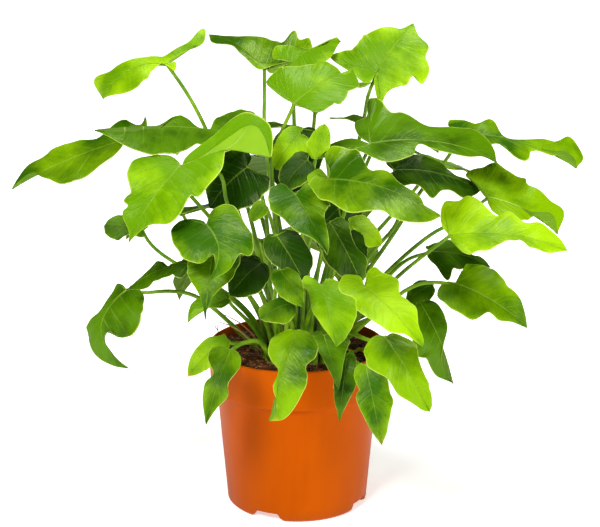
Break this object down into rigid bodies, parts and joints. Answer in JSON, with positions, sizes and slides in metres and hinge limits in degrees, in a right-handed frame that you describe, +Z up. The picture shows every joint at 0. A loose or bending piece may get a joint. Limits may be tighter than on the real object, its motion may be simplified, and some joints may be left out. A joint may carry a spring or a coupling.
{
  "type": "potted philodendron",
  "caption": "Bushy aroid house plant with lobed, wavy green leaves on long stalks, growing in a round orange plastic nursery pot full of potting mix",
  "frame": {"origin": "on the pot's axis, in the plane of the surface that the pot's feet stand on", "axes": "+Z up, +X to the viewer's right along the plant's greatest width, -Y towards the viewer"},
  "size_m": [0.4505, 0.3865, 0.3733],
  "materials": {
    "pot": "moulded orange plastic, slightly satin",
    "potting_mix": "loose fibrous dark brown mix",
    "leaf_light": "smooth young leaf, satin",
    "leaf_middle": "smooth leaf, satin",
    "leaf_dark": "smooth shaded leaf, satin",
    "leaf_sheen": "smooth leaf with a pale sheen"
  },
  "bodies": {
    "root": {"pot": "pot", "potting_mix": "potting_mix", "leaf_upper_left_curl": "leaf_light", "leaf_top_back": "leaf_sheen", "leaf_top_middle_back": "leaf_light", "leaf_top_middle_front": "leaf_light", "leaf_left_upper_dark": "leaf_dark", "leaf_top_right_big": "leaf_light", "leaf_right_long": "leaf_dark", "leaf_far_right_wavy": "leaf_middle", "leaf_right_middle_dark": "leaf_dark", "leaf_right_middle_light": "leaf_middle", "leaf_centre_big": "leaf_sheen", "leaf_right_bright": "leaf_light", "leaf_centre_small": "leaf_light", "leaf_centre_dark": "leaf_dark", "leaf_centre_arrow": "leaf_middle", "leaf_lower_centre_light": "leaf_light", "leaf_lower_right_light": "leaf_light", "leaf_right_low": "leaf_middle", "leaf_right_low_back": "leaf_dark", "leaf_right_small": "leaf_middle", "leaf_right_hanging": "leaf_dark", "leaf_front_right": "leaf_middle", "leaf_front_right_low": "leaf_middle", "leaf_front_narrow_upper": "leaf_dark", "leaf_front_narrow_lower": "leaf_dark", "leaf_front_centre": "leaf_middle", "leaf_front_left_yellow": "leaf_light", "leaf_front_left": "leaf_middle", "leaf_left_low_dark": "leaf_dark", "leaf_left_narrow": "leaf_dark", "leaf_left_small_dark": "leaf_dark", "leaf_left_long": "leaf_sheen", "leaf_left_bright": "leaf_light", "leaf_left_heart": "leaf_middle", "leaf_left_under_heart": "leaf_middle", "leaf_left_yellow_small": "leaf_light", "leaf_inner_left_dark": "leaf_dark", "leaf_inner_top_yellow": "leaf_light", "leaf_inner_top_dark": "leaf_dark", "leaf_inner_new": "leaf_light", "leaf_inner_small": "leaf_middle", "leaf_middle_hanging_dark": "leaf_dark", "leaf_middle_left_dark": "leaf_dark", "leaf_middle_yellow_tip": "leaf_middle", "leaf_middle_olive": "leaf_middle", "leaf_inner_shade_right": "leaf_dark", "leaf_inner_shade_top": "leaf_dark", "leaf_rear_top": "leaf_light", "leaf_rear_top_left": "leaf_middle", "leaf_rear_top_right": "leaf_middle", "leaf_rear_middle": "leaf_dark", "leaf_rear_left": "leaf_dark", "leaf_rear_right": "leaf_dark", "leaf_rear_far_right": "leaf_light", "leaf_rear_low": "leaf_light", "leaf_rear_low_left": "leaf_middle", "leaf_rear_low_right": "leaf_middle"}
  },
  "joints": []
}
